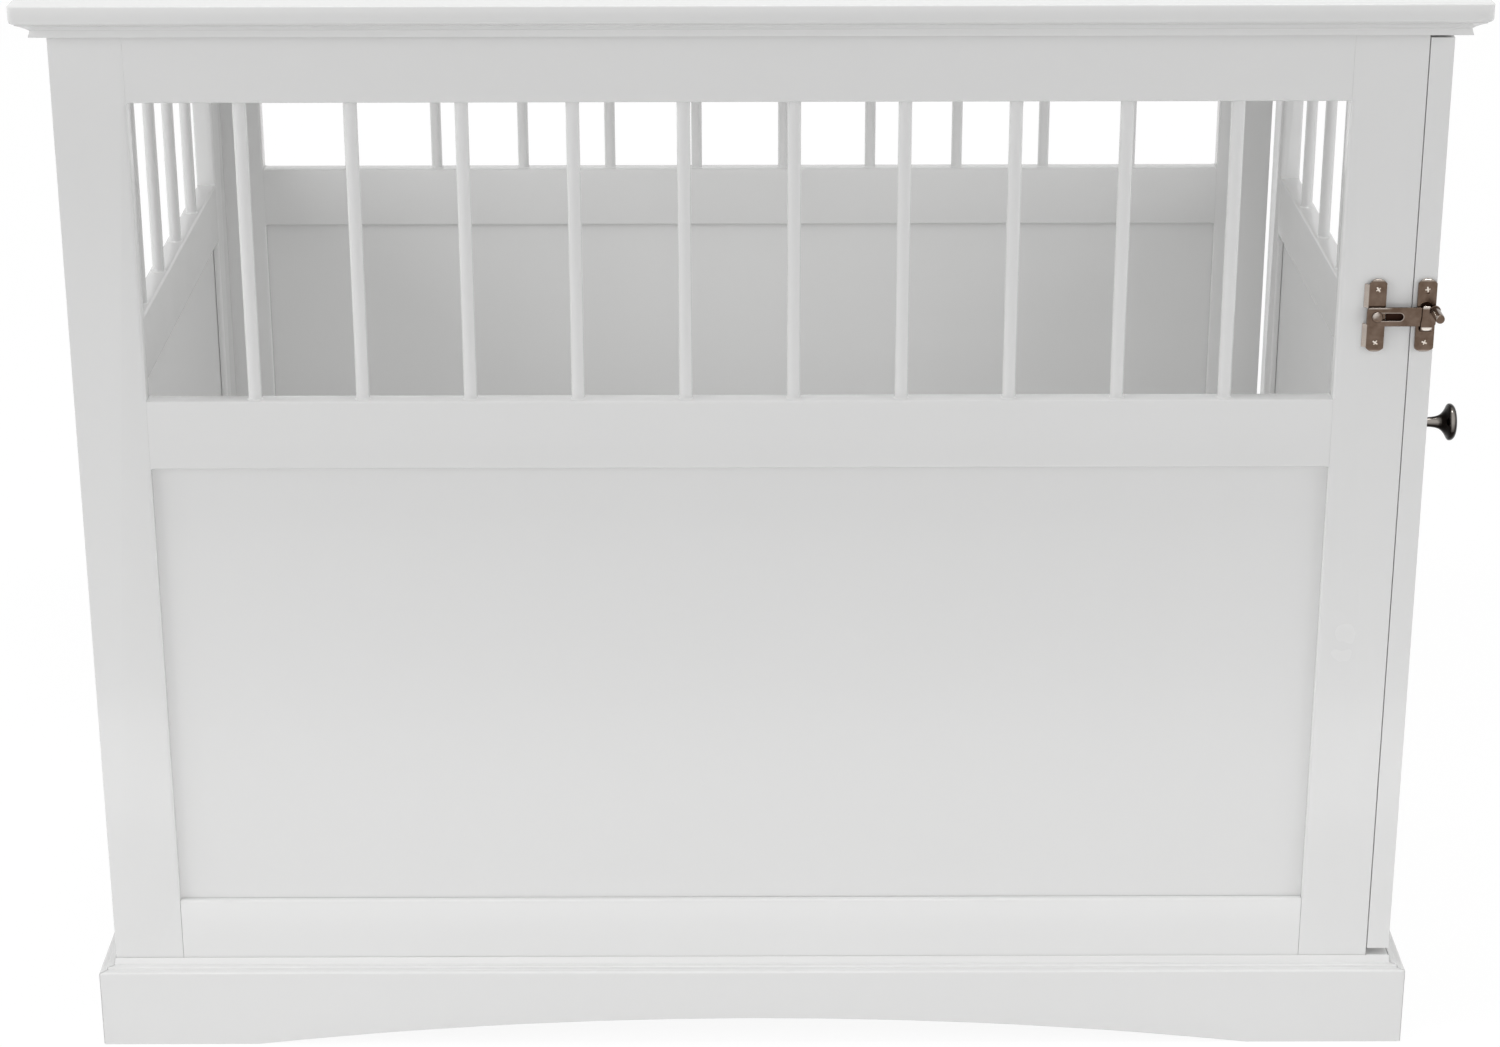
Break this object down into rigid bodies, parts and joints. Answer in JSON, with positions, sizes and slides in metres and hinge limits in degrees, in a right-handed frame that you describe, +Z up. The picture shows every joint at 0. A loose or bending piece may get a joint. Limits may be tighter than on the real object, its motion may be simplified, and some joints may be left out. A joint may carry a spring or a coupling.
{
  "type": "dog crate end table",
  "caption": "White dog crate end table with barred windows, panelled sides, an arched plinth and a hinged end door held by a swing-bar latch.",
  "frame": {"origin": "centre of the underside of the bounding box, on the floor", "axes": "+X along the table's length towards the door end; +Y from the front to the back; +Z up"},
  "size_m": [0.931, 0.6432, 0.738],
  "materials": {
    "white_paint": "satin white paint",
    "inner_paint": "matt white paint",
    "aged_bronze": "polished brown nickel plating",
    "dark_bronze": "glossy black bronze",
    "plain_steel": "zinc plated"
  },
  "bodies": {
    "cabinet": {"tabletop": "white_paint", "cornice_front": "white_paint", "cornice_right": "white_paint", "cornice_back": "white_paint", "cornice_left": "white_paint", "front_left_stile": "white_paint", "front_right_stile": "white_paint", "front_top_rail": "white_paint", "front_barred_rail": "white_paint", "front_bottom_rail": "white_paint", "front_panel": "white_paint", "back_right_stile": "white_paint", "back_left_stile": "white_paint", "back_top_rail": "white_paint", "back_barred_rail": "white_paint", "back_bottom_rail": "white_paint", "back_panel": "white_paint", "left_back_stile": "white_paint", "left_front_stile": "white_paint", "left_top_rail": "white_paint", "left_barred_rail": "white_paint", "left_bottom_rail": "white_paint", "left_panel": "white_paint", "floor_panel": "inner_paint", "floor_cleat_front": "inner_paint", "floor_cleat_back": "inner_paint", "top_batten_front": "inner_paint", "top_batten_back": "inner_paint", "doorway_header": "white_paint", "doorway_threshold": "white_paint", "plinth_front": "white_paint", "plinth_right": "white_paint", "plinth_back": "white_paint", "plinth_left": "white_paint", "lower_hinge_frame_leaf": "aged_bronze", "lower_hinge_pin": "aged_bronze", "upper_hinge_frame_leaf": "aged_bronze", "upper_hinge_pin": "aged_bronze", "latch_base_plate": "aged_bronze", "latch_rivet": "aged_bronze"},
    "door": {"door_front_stile": "white_paint", "door_back_stile": "white_paint", "door_top_rail": "white_paint", "door_barred_rail": "white_paint", "door_bottom_rail": "white_paint", "door_panel": "white_paint", "door_knob": "dark_bronze", "door_knob_screw": "plain_steel", "lower_hinge_door_leaf": "aged_bronze", "upper_hinge_door_leaf": "aged_bronze", "latch_keeper": "aged_bronze"},
    "latch_bar": {"latch_swing_bar": "aged_bronze", "latch_finger_pin": "aged_bronze"}
  },
  "joints": [
    {"name": "door_swing", "type": "hinge", "parent": "cabinet", "child": "door", "pos_m": [0.424, 0.3051, 0.39], "axis": [0, 0, 1], "range_deg": [0, 180]},
    {"name": "latch_bar_swing", "type": "hinge", "parent": "cabinet", "child": "latch_bar", "pos_m": [0.4032, -0.3028, 0.5298], "axis": [0, -1, 0], "range_deg": [0, 270]}
  ]
}
